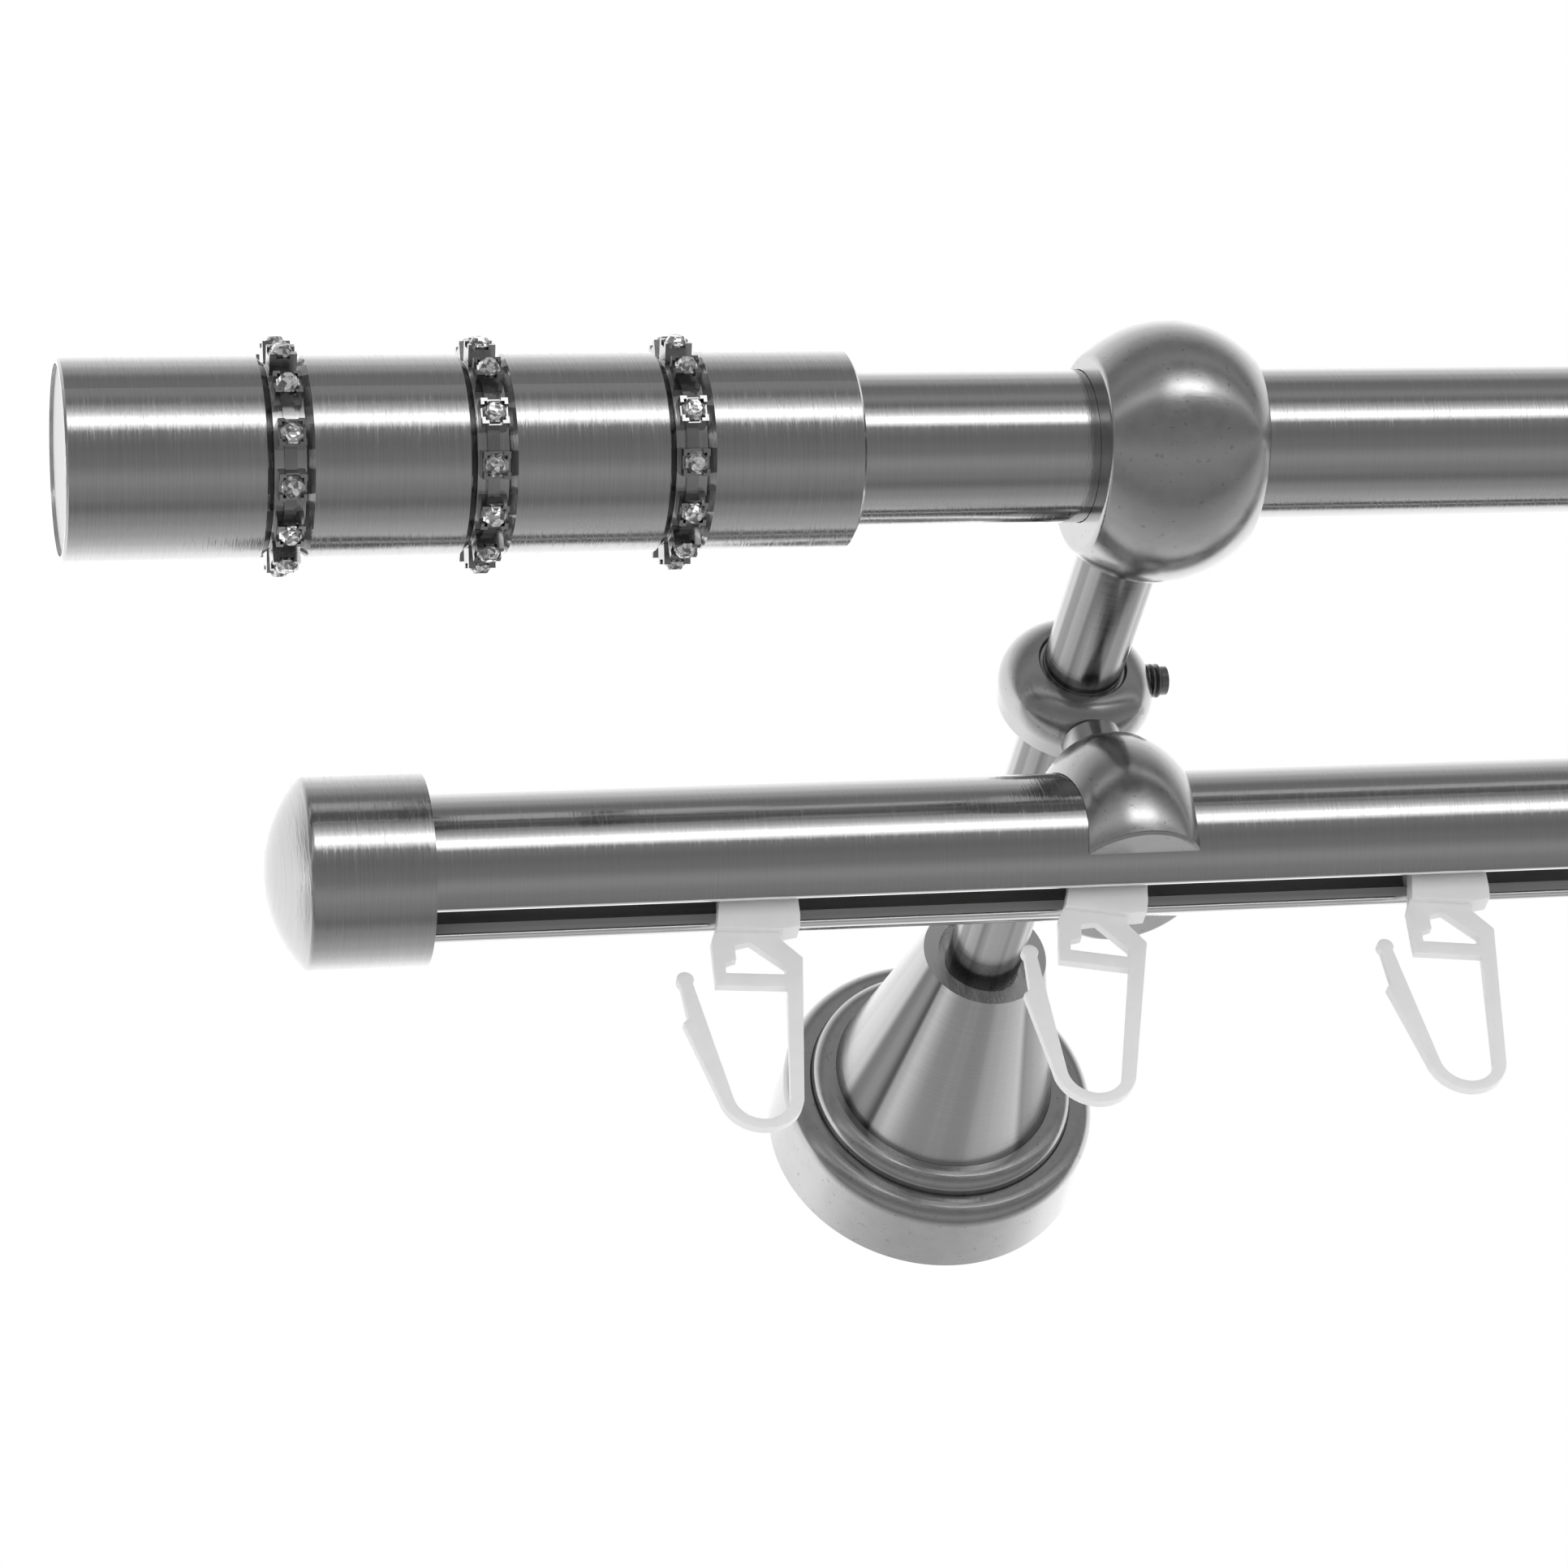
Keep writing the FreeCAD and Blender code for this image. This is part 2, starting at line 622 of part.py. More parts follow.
def end_cap(side, x, rotation):
    """Turned cap with a shallow dome, pushed over the rail's end."""
    body = new_body(f"{side}_end_cap", x, "-dims.rear_reach", "-dims.rear_drop", rotation)
    radius = "dims.cap_diameter / 2"
    dome_radius = f"((({radius})^2 + dims.cap_dome^2) / (2 * dims.cap_dome))"
    turned_on_pole(body, "cap", [
        ("0", POLE_BORE),
        (f"dims.cap_insert + dims.loose_fit", POLE_BORE),
        (f"dims.cap_insert + dims.loose_fit", "0"),
        ("dims.cap_skirt + dims.cap_dome", "0", dome_radius),
        ("dims.cap_skirt", radius),
        ("0", radius),
    ])
    skirt = value("dims.cap_skirt")
    soften(body, "soft_shoulder", "dims.cap_corner",
           lambda edge: edge.BoundBox.XLength < 0.01 and abs(edge.BoundBox.XMin - skirt) < 0.01)


def finial_sleeve(side, x, rotation):
    """Brushed sleeve with a groove for each cup chain and a seat for the end disc."""
    body = new_body(f"{side}_finial_sleeve", x, "-dims.front_reach", "0", rotation)
    profile = [("0", f"{FINIAL_RADIUS} - dims.finial_bevel"), ("dims.finial_bevel", FINIAL_RADIUS)]
    for ring in range(RINGS_PER_FINIAL):
        start = f"(dims.groove_offset + {ring} * dims.groove_pitch)"
        profile += [
            (start, FINIAL_RADIUS),
            (f"{start} + dims.groove_depth", GROOVE_FLOOR_RADIUS),
            (f"{start} + {GROOVE_WIDTH} - dims.groove_depth", GROOVE_FLOOR_RADIUS),
            (f"{start} + {GROOVE_WIDTH}", FINIAL_RADIUS),
        ]
    seat = f"(dims.finial_length - {DISC_SEAT})"
    lip = f"({FINIAL_RADIUS} - dims.disc_rim)"
    profile += [
        ("dims.finial_length - dims.finial_bevel", FINIAL_RADIUS),
        ("dims.finial_length", f"{FINIAL_RADIUS} - dims.finial_bevel"),
        ("dims.finial_length", lip),
        (seat, lip),
        (seat, FINIAL_BORE),
        ("0", FINIAL_BORE),
    ]
    turned_on_pole(body, "sleeve", profile)


def finial_end_disc(side, x, rotation):
    """Plain pale disc set a little way into the finial's end."""
    body = new_body(f"{side}_finial_end_disc", x, "-dims.front_reach", "0", rotation)
    seat = f"(dims.finial_length - {DISC_SEAT})"
    bar(body, "disc", f"{FINIAL_RADIUS} - dims.disc_rim - dims.slip_fit", "dims.disc_thickness",
        x=seat, rotation=ALONG_X)


def finial_bush(side, x, rotation):
    """Thin bush that centres the pole in the sleeve."""
    body = new_body(f"{side}_finial_bush", x, "-dims.front_reach", "0", rotation)
    bar(body, "bush", f"{FINIAL_BORE} - dims.slip_fit", "dims.bush_length", x="dims.finial_bevel", rotation=ALONG_X)
    bore(body, "pole_bore", f"{POLE_RADIUS} + dims.slip_fit", "2 * dims.bush_length", rotation=ALONG_X)


def around(shape, number, turn):
    """Turns a shape made on top of the finial to its place in the ring of stones."""
    placed = shape.copy()
    placed.rotate(Vector(), Vector(1, 0, 0), 360 * number / STONES_PER_RING + turn)
    return placed


def centred_box(length, width, height, bottom):
    return Part.makeBox(length, width, height, Vector(-length / 2, -width / 2, bottom))


def plain_part(label, shape, x, rotation):
    """A piece whose shape is made here from the sheet's sizes."""
    piece = doc.addObject("Part::Feature", label)
    piece.Label = label
    piece.Shape = shape
    place(piece, x, "-dims.front_reach", "0", rotation)
    return piece


def cup_chain(label, x, rotation, turn):
    """Square four-prong cups on a link strip that wraps once round the groove."""
    size = value("dims.cup_size")
    height = value("dims.cup_height")
    bed = value("dims.cup_bed")
    prong = value("dims.prong_size")
    notch = value("dims.prong_height")
    foot = value(f"{GROOVE_FLOOR_RADIUS} + dims.slip_fit")
    link = value("dims.link_width")
    thickness = value("dims.link_thickness")
    open_square = size - prong
    cup = centred_box(size, size, height + thickness, foot - thickness / 2)
    cup = cup.cut(centred_box(open_square, open_square, height, foot + bed))
    notch_floor = foot + height + thickness / 2 - notch
    for long_side, short_side in ((2 * size, size - 2 * prong), (size - 2 * prong, 2 * size)):
        cup = cup.cut(centred_box(long_side, short_side, height, notch_floor))
    bottom = Part.makeCylinder(foot, 2 * size, Vector(-size, 0, 0), Vector(1, 0, 0))
    strip = Part.makeCylinder(foot + thickness, link, Vector(-link / 2, 0, 0), Vector(1, 0, 0))
    chain = strip.multiFuse([around(cup, number, turn) for number in range(STONES_PER_RING)]).cut(bottom)
    return plain_part(label, chain.removeSplitter(), x, rotation)


def facet_ring(diameter, height):
    points = []
    for corner in range(STONE_FACETS + 1):
        angle = 2 * math.pi * (corner + 0.5) / STONE_FACETS
        points.append(Vector(diameter / 2 * math.cos(angle), diameter / 2 * math.sin(angle), height))
    return Part.makePolygon(points)


def stones(label, x, rotation, turn):
    """One cut stone in each cup of a ring."""
    bed = value(f"{GROOVE_FLOOR_RADIUS} + 2 * dims.slip_fit + dims.cup_bed")
    girdle = bed + value("dims.stone_girdle")
    table = bed + value("dims.stone_height")
    stone = Part.makeLoft([
        facet_ring(value("dims.stone_foot"), bed),
        facet_ring(value("dims.stone_diameter"), girdle),
        facet_ring(value("dims.stone_table"), table),
    ], True, True)
    group = Part.makeCompound([around(stone, number, turn) for number in range(STONES_PER_RING)])
    return plain_part(label, group, x, rotation)


def glider(number):
    """One moulded glider: running head in the rail, neck through the slot, and its clip hook below."""
    tilt = GLIDER_TILTS[number]
    lift = f"dims.head_length / 2 * sin({tilt} deg)"
    x = f"dims.glider_first + {number} * dims.glider_pitch"
    pivot = f"({LIP_TOP} - dims.head_clearance)"
    height = f"-dims.rear_drop - {pivot} + {lift}"
    body = new_body(f"glider_{number + 1:02d}", x, "-dims.rear_reach", height, Rotation(Vector(0, 1, 0), tilt))
    head = body.newObject("PartDesign::AdditiveBox", "head")
    head.setExpression("Length", "dims.head_length")
    head.setExpression("Width", "dims.head_width")
    head.setExpression("Height", "dims.head_height")
    place(head, "-dims.head_length / 2", "-dims.head_width / 2")
    body.Tip = head
    pad(body, "neck", draw(body, "neck_outline", "XZ_Plane", [neck_corners(pivot)]), "dims.neck_thickness")
    loops = [hook_corners(pivot), window_corners(pivot)]
    pad(body, "hook", draw(body, "hook_outline", "XZ_Plane", loops), "dims.hook_thickness")
    bar(body, "tip_ball", "dims.tip_radius", "dims.hook_thickness", x="-dims.tip_offset",
        y="-dims.hook_thickness / 2", z=f"{pivot} - dims.tip_drop", rotation=ALONG_Y)


def neck_corners(pivot):
    half = "dims.neck_length / 2"
    foot = f"{pivot} - dims.neck_drop"
    return [
        (f"-{half} + dims.neck_waist", "dims.head_height / 2"),
        (f"-{half} - dims.neck_flare", foot),
        (f"{half} - dims.leg_width", foot),
        (f"{half} - dims.neck_flare / 4", f"{foot} + dims.neck_flare"),
        (half, f"{foot} + dims.leg_width"),
        (half, "dims.head_height / 2"),
    ]


def hook_corners(pivot):
    """Outline of the hook, down the left wall, along the bar, round the bend and back to the neck."""
    wall = "dims.wall_out"
    bar_foot = f"{pivot} - dims.bar_top - dims.bar_width"
    bend = f"{pivot} - dims.bend_drop"
    inner = "(dims.bend_radius - dims.bend_width)"
    tip = f"{pivot} - dims.tip_drop"
    barb = f"{pivot} - dims.barb_drop"
    half_tip = "dims.tip_width / 2"
    return [
        ("-dims.neck_length / 2", f"{pivot} - dims.neck_drop + dims.leg_width"),
        (f"-{wall}", f"{pivot} - dims.window_top"),
        (f"-{wall}", bar_foot),
        ("dims.shoulder_out - dims.leg_width", bar_foot),
        (f"{inner} - dims.bend_offset", bend, f"-{inner} * dims.bend_flatness"),
        (f"-{inner} - dims.bend_offset", bend),
        (f"-dims.tip_offset + {half_tip}", tip),
        (f"-dims.tip_offset - {half_tip}", tip),
        (f"-dims.tip_offset - {half_tip} + dims.barb_step", barb),
        (f"-dims.tip_offset - {half_tip}", f"{barb} - dims.barb_step"),
        ("-dims.bend_offset - dims.bend_radius", bend, "dims.bend_radius * dims.bend_flatness"),
        ("-dims.bend_offset + dims.bend_radius", bend),
        ("dims.shoulder_out", f"{pivot} - dims.shoulder_drop"),
        ("dims.shoulder_out - dims.leg_width * 1.1", f"{pivot} - dims.window_top + dims.neck_flare"),
        ("dims.shoulder_out - dims.leg_width * 1.1", f"{pivot} - dims.neck_drop + dims.leg_width"),
    ]


def window_corners(pivot):
    """Opening between the left wall, the bar and the slanting top of the leg."""
    left = "(dims.wall_out - dims.wall_width)"
    right = "(dims.shoulder_out - dims.leg_width)"
    top = f"{pivot} - dims.window_top"
    step = f"{pivot} - dims.window_step"
    floor = f"{pivot} - dims.bar_top"
    return [
        (f"-{left}", floor),
        (right, floor),
        (right, f"{floor} + dims.neck_flare * 2"),
        ("-dims.bend_offset + dims.neck_flare", top),
        (f"-{left} + dims.wall_width", f"{top} - dims.neck_flare"),
        (f"-{left} + dims.wall_width", step),
        (f"-{left}", f"{step} - dims.neck_flare"),
    ]


for side in SIDES:
    outward = Rotation(Vector(0, 0, 1), 180 if side == "left" else 0)
    sign = "-" if side == "left" else "dims.bracket_spacing + "
    bracket_x = "0" if side == "left" else "dims.bracket_spacing"
    wall_plate(side, bracket_x)
    flange(side, bracket_x)
    flange_grub(side, bracket_x)
    cone(side, bracket_x)
    arm(side, bracket_x)
    tie_screw(side, bracket_x)
    front_holder(side, bracket_x)
    front_grub(side, bracket_x)
    collar(side, bracket_x)
    collar_screw(side, bracket_x)
    rear_holder(side, bracket_x)
    rear_holder_screw(side, bracket_x)
    end_cap(side, sign + "dims.cap_mouth", outward)
    finial_x = sign + "dims.finial_mouth"
    finial_sleeve(side, finial_x, outward)
    finial_end_disc(side, finial_x, outward)
    finial_bush(side, finial_x, outward)
    for ring in range(RINGS_PER_FINIAL):
        step = f"(dims.groove_offset + {GROOVE_WIDTH} / 2 + {ring} * dims.groove_pitch)"
        groove_x = f"{finial_x} {'-' if side == 'left' else '+'} {step}"
        cup_chain(f"{side}_finial_chain_{ring + 1}", groove_x, outward, RING_TURNS[ring])
        stones(f"{side}_finial_stones_{ring + 1}", groove_x, outward, RING_TURNS[ring])
front_pole()
rear_track()
for number in range(len(GLIDER_TILTS)):
    glider(number)

doc.recompute()

for thing in doc.Objects:
    if "Invalid" in thing.State or "Error" in thing.State:
        raise RuntimeError(f"{thing.Label} failed: {thing.State}")

pieces = [thing for thing in doc.Objects if thing.TypeId in ("PartDesign::Body", "Part::Feature")]
os.makedirs("parts", exist_ok=True)
for piece in pieces:
    if piece.Shape.isNull() or not piece.Shape.isValid():
        raise RuntimeError(f"{piece.Label} has no valid shape")
    piece.Shape.exportStep(f"parts/{piece.Label}.step")
    print(piece.Label, len(piece.Shape.Solids), round(piece.Shape.Volume, 1))
print(len(pieces), "pieces")
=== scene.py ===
import math

import bpy
from mathutils import Matrix, Vector


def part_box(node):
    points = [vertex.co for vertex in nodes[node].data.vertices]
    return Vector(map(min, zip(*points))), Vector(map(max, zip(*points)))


# Looks for the double curtain pole: brushed and satin metal, cut-glass stones, moulded gliders.
# Lengths are in metres, in the part's own frame: X along the poles, Y into the wall, Z up.

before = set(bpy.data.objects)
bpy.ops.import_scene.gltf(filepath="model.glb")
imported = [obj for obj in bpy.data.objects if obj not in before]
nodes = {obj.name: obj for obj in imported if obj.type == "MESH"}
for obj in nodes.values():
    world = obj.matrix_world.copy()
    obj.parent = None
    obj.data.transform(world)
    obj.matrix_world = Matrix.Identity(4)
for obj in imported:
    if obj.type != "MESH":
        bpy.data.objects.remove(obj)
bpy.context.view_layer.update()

SIDES = ("left", "right")
RINGS = (1, 2, 3)
MM = 0.001
# Ramps hold numbers from 0 to 1, so what they grade is divided by this and multiplied back afterwards.
BRIGHTEST = 3.2


# Node helpers

def new_material(name):
    """A material with its node tree and its shader."""
    material = bpy.data.materials.new(name)
    material.use_nodes = True
    tree = material.node_tree
    return material, tree, tree.nodes["Principled BSDF"]


def add(tree, kind, **settings):
    """A new node with its settings."""
    node = tree.nodes.new(kind)
    for name, setting in settings.items():
        setattr(node, name, setting)
    return node


def stretched_coordinates(tree, scale, rotation=(0, 0, 0)):
    """The part's own coordinates, stretched so that a noise read from them turns into streaks."""
    coordinates = add(tree, "ShaderNodeTexCoord")
    mapping = add(tree, "ShaderNodeMapping")
    mapping.inputs["Scale"].default_value = scale
    mapping.inputs["Rotation"].default_value = rotation
    tree.links.new(coordinates.outputs["Object"], mapping.inputs["Vector"])
    return mapping.outputs["Vector"]


def noise(tree, vector, scale=1, detail=4, roughness=0.6):
    """Soft noise around 0.5."""
    node = add(tree, "ShaderNodeTexNoise")
    node.inputs["Scale"].default_value = scale
    node.inputs["Detail"].default_value = detail
    node.inputs["Roughness"].default_value = roughness
    tree.links.new(vector, node.inputs["Vector"])
    return node.outputs["Fac"]


def ranged(tree, value, low, high, new_low, new_high):
    """A value from between two limits, carried over to between two others."""
    node = add(tree, "ShaderNodeMapRange")
    limits = {"From Min": low, "From Max": high, "To Min": new_low, "To Max": new_high}
    for socket, number in limits.items():
        node.inputs[socket].default_value = number
    tree.links.new(value, node.inputs["Value"])
    return node.outputs["Result"]


def tinted(tree, fac, dark, light):
    """A grey between two tones."""
    ramp = add(tree, "ShaderNodeValToRGB")
    for stop, tone in zip(ramp.color_ramp.elements, (dark, light)):
        stop.color = (tone, tone, tone, 1)
    tree.links.new(fac, ramp.inputs["Fac"])
    return ramp.outputs["Color"]


def bumped(tree, shader, height, strength, distance):
    """Gives a shader the relief of a height."""
    bump = add(tree, "ShaderNodeBump")
    bump.inputs["Strength"].default_value = strength
    bump.inputs["Distance"].default_value = distance
    tree.links.new(height, bump.inputs["Height"])
    tree.links.new(bump.outputs["Normal"], shader.inputs["Normal"])


def shaded(tree, colour, factor):
    """A colour multiplied by a factor."""
    node = add(tree, "ShaderNodeVectorMath", operation="SCALE")
    tree.links.new(colour, node.inputs["Vector"])
    tree.links.new(factor, node.inputs["Scale"])
    return node.outputs["Vector"]


def calculated(tree, operation, first, second):
    """A maths node on two outputs, or on an output and a number."""
    node = add(tree, "ShaderNodeMath", operation=operation)
    for socket, source in zip(node.inputs, (first, second)):
        if isinstance(source, (int, float)):
            socket.default_value = source
        else:
            tree.links.new(source, socket)
    return node.outputs["Value"]


def graded(tree, value, span, stops):
    """A ramp over a value from -span to span, from stops of (value, level); it gives level / BRIGHTEST."""
    ramp = add(tree, "ShaderNodeValToRGB")
    ramp.color_ramp.interpolation = "EASE"
    elements = ramp.color_ramp.elements
    for number, (place, level) in enumerate(stops):
        position = (place + span) / (2 * span)
        # A new ramp has two stops of its own.
        stop = elements[number] if number < 2 else elements.new(position)
        stop.position = position
        shade = level / BRIGHTEST
        stop.color = (shade, shade, shade, 1)
    tree.links.new(ranged(tree, value, -span, span, 0, 1), ramp.inputs["Fac"])
    return ramp.outputs["Color"]


# Materials

# How much the coordinates are stretched for each noise. Brushing runs round the poles, the sleeves and the
# caps, whose axis is X, and the turning marks of cones and arms run round them, whose axis is Y.
ROUND_X = (3200, 60, 60)
ROUND_Y = (60, 3200, 60)
SCRATCHES_X = (2600, 260, 260)
SCUFFS_X = (12, 900, 900)
CASTING_CLOUDS = (260, 260, 260)
CASTING_GRAIN = (2600, 2600, 2600)
PLASTIC_CLOUDS = (240, 240, 240)
SPECKS = (900, 900, 900)
STIPPLE = (1500, 1500, 1500)
FACETS = (1500, 1500, 1500)
# The turn of the poles' scratches, which lie aslant.
SLANTED = (0, 0, math.radians(35))
# Painted reflection streaks as (degrees round the arm's axis, share of the tone); 0 is straight below, 90
# is +X.
EVEN = ((-180, 1), (180, 1))
CONE_PAINTED_REFLECTIONS = (
    (-180, 1), (-98, 1), (-82, 0.9), (-75, 0.28), (-64, 0.4), (-57, 0.16), (-54, 0.9), (-47, 1.5),
    (-36, 1.1), (-8, 1.1), (8, 1.5), (26, 1.5), (33, 0.5), (62, 0.35), (80, 1), (180, 1),
)


def brushed_metal(name, tone, roughness, streaks, bump, spread=0.03, tilt=(0, 0, 0)):
    """Satin metal brushed across the stretched direction, with scratches that widen its shine."""
    material, tree, shader = new_material(name)
    fine = noise(tree, stretched_coordinates(tree, streaks), detail=3, roughness=0.7)
    scratches = noise(tree, stretched_coordinates(tree, SCRATCHES_X, tilt), detail=2)
    marks = ranged(tree, scratches, 0.5, 0.75, 0, 0.8)
    both = calculated(tree, "ADD", fine, marks)
    shader.inputs["Metallic"].default_value = 1
    tree.links.new(tinted(tree, fine, tone - spread, tone + spread), shader.inputs["Base Color"])
    dulled = ranged(tree, both, 0.35, 1.5, roughness * 0.75, roughness * 1.9)
    tree.links.new(dulled, shader.inputs["Roughness"])
    bumped(tree, shader, both, bump, 0.05 * MM)
    return material


def satin_casting(name, tone, roughness, pits=0.25):
    """Plated die casting: faintly clouded, with fine grain and small dark pits."""
    material, tree, shader = new_material(name)
    clouds = noise(tree, stretched_coordinates(tree, CASTING_CLOUDS), detail=5)
    grain = noise(tree, stretched_coordinates(tree, CASTING_GRAIN), detail=3)
    specks = noise(tree, stretched_coordinates(tree, SPECKS), detail=2)
    clean = ranged(tree, specks, 0.27, 0.35, 1 - pits, 1)
    shader.inputs["Metallic"].default_value = 1
    colour = shaded(tree, tinted(tree, clouds, tone - 0.05, tone + 0.05), clean)
    tree.links.new(colour, shader.inputs["Base Color"])
    dulled = ranged(tree, clouds, 0.3, 0.7, roughness * 0.8, roughness * 1.3)
    tree.links.new(dulled, shader.inputs["Roughness"])
    bumped(tree, shader, calculated(tree, "ADD", grain, clean), 0.2, 0.03 * MM)
    return material


def moulded_plastic():
    """Milky nylon of the gliders, with light that spreads a little under its surface."""
    material, tree, shader = new_material("glider_nylon")
    clouds = noise(tree, stretched_coordinates(tree, PLASTIC_CLOUDS))
    tree.links.new(tinted(tree, clouds, 0.8, 0.89), shader.inputs["Base Color"])
    shader.inputs["Roughness"].default_value = 0.38
    shader.inputs["Subsurface Weight"].default_value = 0.6
    shader.inputs["Subsurface Radius"].default_value = (1, 1, 1)
    shader.inputs["Subsurface Scale"].default_value = 1.5 * MM
    shader.inputs["Transmission Weight"].default_value = 0.12
    bumped(tree, shader, clouds, 0.08, 0.1 * MM)
    return material


def cut_glass():
    """Clear stones with small bumped facets, and a base colour painted lighter and darker cell by cell:
    painted glints and dark painted reflections.
    """
    material, tree, shader = new_material("cut_glass")
    facets = add(tree, "ShaderNodeTexVoronoi")
    facets.inputs["Scale"].default_value = 1
    tree.links.new(stretched_coordinates(tree, FACETS), facets.inputs["Vector"])
    # Painted glints and dark painted reflections: each facet cell gets its own tone, from dark to white.
    painted_glints = ranged(tree, facets.outputs["Color"], 0.3, 0.7, 0, 1)
    tree.links.new(tinted(tree, painted_glints, 0.22, 1), shader.inputs["Base Color"])
    bumped(tree, shader, facets.outputs["Distance"], 0.6, 0.15 * MM)
    shader.inputs["Roughness"].default_value = 0.03
    shader.inputs["IOR"].default_value = 1.72
    shader.inputs["Metallic"].default_value = 0.6
    shader.inputs["Transmission Weight"].default_value = 0.5
    return material


def painted_disc():
    """Off-white lacquer with a fine stipple."""
    material, tree, shader = new_material("pale_lacquer")
    stipple = noise(tree, stretched_coordinates(tree, STIPPLE))
    tree.links.new(tinted(tree, stipple, 0.72, 0.8), shader.inputs["Base Color"])
    shader.inputs["Roughness"].default_value = 0.45
    bumped(tree, shader, stipple, 0.1, 0.03 * MM)
    return material


def painted_reflection_streaks(name, tone, roughness, depth, fineness, streaks):
    """Turned metal with painted reflections: listed streaks of tone by facing, darker ones by chance, and
    fine rings.
    """
    material, tree, shader = new_material(name)
    facing = add(tree, "ShaderNodeTexCoord").outputs["Normal"]
    parts = add(tree, "ShaderNodeSeparateXYZ")
    tree.links.new(facing, parts.inputs["Vector"])
    downward = calculated(tree, "MULTIPLY", parts.outputs["Z"], -1)
    radians = calculated(tree, "ARCTAN2", parts.outputs["X"], downward)
    # Painted reflections: the tone is set by which way a face looks, as streaks mirrored from the studio
    # would be.
    painted_reflections = graded(tree, calculated(tree, "DEGREES", radians, 0), 180, streaks)
    # Painted reflections too: darker bands by chance, read from which way a face looks.
    bands = noise(tree, facing, fineness, detail=2, roughness=0.5)
    rings = noise(tree, stretched_coordinates(tree, ROUND_Y), detail=3, roughness=0.7)
    painted_reflections_by_chance = ranged(tree, bands, 0.4, 0.56, BRIGHTEST * (1 - depth), BRIGHTEST)
    share = calculated(tree, "MULTIPLY", painted_reflections, painted_reflections_by_chance)
    shader.inputs["Metallic"].default_value = 1
    colour = shaded(tree, tinted(tree, rings, tone - 0.04, tone + 0.04), share)
    tree.links.new(colour, shader.inputs["Base Color"])
    dulled = ranged(tree, rings, 0.3, 0.7, roughness * 0.8, roughness * 1.3)
    tree.links.new(dulled, shader.inputs["Roughness"])
    bumped(tree, shader, rings, 0.25, 0.04 * MM)
    return material


def slot_shadow():
    """Painted shade: a dull grey in place of metal on the inside of the rail, seen through its slot, with
    long scuffs from the gliders.
    """
    material, tree, shader = new_material("rail_inside")
    scuffs = noise(tree, stretched_coordinates(tree, SCUFFS_X), detail=3)
    tree.links.new(tinted(tree, scuffs, 0.22, 0.4), shader.inputs["Base Color"])
    shader.inputs["Roughness"].default_value = 0.5
    bumped(tree, shader, scuffs, 0.2, 0.05 * MM)
    return material


def dark_plastic():
    """Grained dull plastic of the bushes inside the finials."""
    material, tree, shader = new_material("bush_plastic")
    grain = noise(tree, stretched_coordinates(tree, SPECKS))
    tree.links.new(tinted(tree, grain, 0.03, 0.05), shader.inputs["Base Color"])
    shader.inputs["Roughness"].default_value = 0.6
    bumped(tree, shader, grain, 0.2, 0.05 * MM)
    return material


pole_steel = brushed_metal("pole_steel", 0.45, 0.12, ROUND_X, 0.25, tilt=SLANTED)
turned_steel = brushed_metal("turned_steel", 0.44, 0.15, ROUND_X, 0.45, spread=0.06)
# The arm and the cone carry painted reflection streaks in their base colour.
arm_steel = painted_reflection_streaks("arm_steel", 0.42, 0.2, 0.55, 1.9, EVEN)
cone_steel = painted_reflection_streaks("cone_steel", 0.45, 0.22, 0.1, 5, CONE_PAINTED_REFLECTIONS)
mouth_steel = brushed_metal("mouth_steel", 0.62, 0.3, ROUND_Y, 0.2)
# A near-white copy of the pole's metal for the rolled lips: painted highlight.
rolled_lips = brushed_metal("rolled_lips", 0.95, 0.12, ROUND_X, 0.2, tilt=SLANTED)
cast_metal = satin_casting("cast_metal", 0.42, 0.2)
plate_zinc = satin_casting("plate_zinc", 0.55, 0.35)
screw_steel = satin_casting("screw_steel", 0.2, 0.3)
chain_metal = satin_casting("chain_metal", 0.34, 0.14)
rail_inside = slot_shadow()
glass = cut_glass()
nylon = moulded_plastic()
lacquer = painted_disc()
bush = dark_plastic()

# The pieces in their materials

# The rail takes the dull grey of painted shade where it is nearer its axis than this share of its radius.
DULL_WITHIN = 0.925
# The rolled lips lie nearer the middle of the slot than this, and get a brighter copy of the metal, a
# painted highlight.
LIPS_WITHIN = 4.4 * MM
# A face of the cone whose normal is this much along the arm belongs to its mouth or its foot.
FACING_ALONG_ARM = 0.9


def dress(node, material):
    """Gives a piece one material and returns its mesh."""
    mesh = nodes[node].data
    mesh.materials.clear()
    mesh.materials.append(material)
    for polygon in mesh.polygons:
        polygon.material_index = 0
    return mesh


def middle_and_size(node):
    """The middle and the size of a piece's box."""
    low, high = (Vector(corner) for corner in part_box(node))
    return (low + high) / 2, high - low


def dress_rail():
    """The rail's outside like the pole, its rolled lips with a painted highlight, and faces that look at
    its axis in painted shade.
    """
    mesh = dress("rear_track", pole_steel)
    mesh.materials.append(rail_inside)
    mesh.materials.append(rolled_lips)
    middle, size = middle_and_size("rear_track")
    dull_radius = DULL_WITHIN * size.y / 2
    for polygon in mesh.polygons:
        outward = polygon.center - middle
        outward.x = 0
        # Painted shade inside the rail.
        if outward.dot(polygon.normal) < 0 and outward.length < dull_radius:
            polygon.material_index = 1
        # Painted highlight on the rolled lips.
        elif outward.z < 0 and abs(outward.y) < LIPS_WITHIN:
            polygon.material_index = 2


def dress_cone(node):
    """The taper with painted reflection streaks, its mouth and every other face that looks along or at the
    arm plain.
    """
    mesh = dress(node, cone_steel)
    mesh.materials.append(mouth_steel)
    middle, _ = middle_and_size(node)
    for polygon in mesh.polygons:
        outward = polygon.center - middle
        outward.y = 0
        if abs(polygon.normal.y) > FACING_ALONG_ARM or outward.dot(polygon.normal) < 0:
            polygon.material_index = 1


